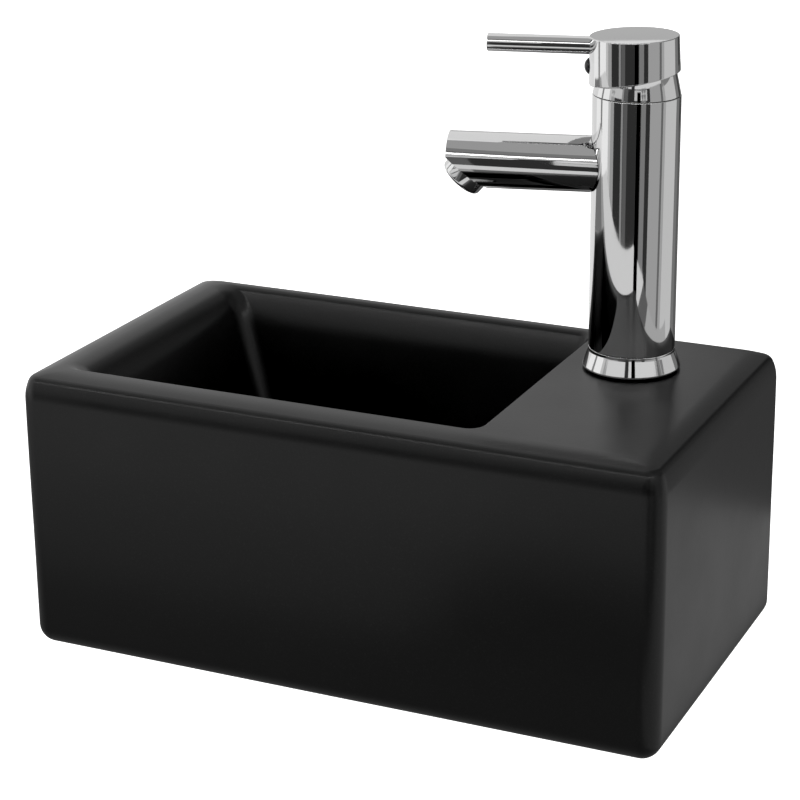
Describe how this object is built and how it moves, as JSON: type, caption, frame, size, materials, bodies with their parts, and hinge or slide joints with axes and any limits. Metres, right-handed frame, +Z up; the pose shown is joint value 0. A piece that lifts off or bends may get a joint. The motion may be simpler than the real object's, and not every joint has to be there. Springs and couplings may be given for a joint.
{
  "type": "hand basin",
  "caption": "Small wall-hung rectangular hand basin in matt black ceramic with a side ledge, a chrome single-lever mixer tap and a push-down plug.",
  "frame": {"origin": "on the back face against the wall, half-way between the two wall-fixing holes and 60 mm below the rim", "axes": "+Z up, +Y into the wall, +X along the wall towards the ledge with the tap"},
  "size_m": [0.36, 0.2, 0.3561],
  "materials": {
    "black_glaze": "matt black glaze",
    "chrome": "polished chrome plate",
    "brass": "plain machined brass",
    "steel": "stainless steel",
    "rubber": "black rubber",
    "white_plastic": "moulded white plastic",
    "grey_plastic": "moulded grey plastic",
    "black_plastic": "moulded black plastic",
    "alumina": "lapped white ceramic"
  },
  "bodies": {
    "root": {"aerator_collar": "chrome", "aerator_insert": "grey_plastic", "aerator_screen": "steel", "aerator_washer": "rubber", "base_flange": "chrome", "base_gasket": "rubber", "basin_body": "black_glaze", "cartridge_base": "grey_plastic", "cartridge_housing": "grey_plastic", "fixed_disc": "alumina", "fixing_gasket": "rubber", "fixing_nut": "brass", "fixing_plate": "steel", "flange_seal": "rubber", "friction_washer": "white_plastic", "inlet_seal_cold": "rubber", "inlet_seal_hot": "rubber", "mounting_stud": "brass", "outlet_seal": "rubber", "plug_barrel": "white_plastic", "plug_spring": "steel", "retaining_nut": "brass", "spout": "chrome", "tap_body": "chrome", "tapered_washer": "rubber", "trim_ring": "chrome", "waste_backnut": "brass", "waste_body": "chrome"},
    "turning_sleeve": {"rotor_sleeve": "white_plastic", "pivot_pin": "steel"},
    "handle": {"handle_cap": "chrome", "lever_rod": "chrome", "grub_screw": "steel", "index_button": "black_plastic", "cartridge_stem": "brass"},
    "sliding_disc": {"moving_disc": "alumina", "disc_carrier": "black_plastic"},
    "plug": {"plug_cap": "chrome", "plug_seal": "rubber", "plug_stem": "brass", "plug_clip": "steel"}
  },
  "joints": [
    {"name": "lever_turn", "type": "hinge", "parent": "root", "child": "turning_sleeve", "pos_m": [0.1135, -0.058, 0.21], "axis": [0, 0, 1], "range_deg": [-50, 50]},
    {"name": "lever_lift", "type": "hinge", "parent": "turning_sleeve", "child": "handle", "pos_m": [0.1135, -0.058, 0.21], "axis": [-0.2419, 0.9703, 0], "range_deg": [0, 20]},
    {"name": "disc_slide", "type": "slide", "parent": "turning_sleeve", "child": "sliding_disc", "axis": [-0.9703, -0.2419, 0], "range_m": [0, 0.0072]},
    {"name": "plug_press", "type": "slide", "parent": "root", "child": "plug", "axis": [0, 0, 1], "range_m": [-0.005, 0], "stiffness_N_per_m": 400, "springref_m": 0.01, "deforming": ["plug_spring"]}
  ],
  "couplings": [
    {"joint": "disc_slide", "follows": "lever_lift", "m_per_rad": 0.02}
  ]
}
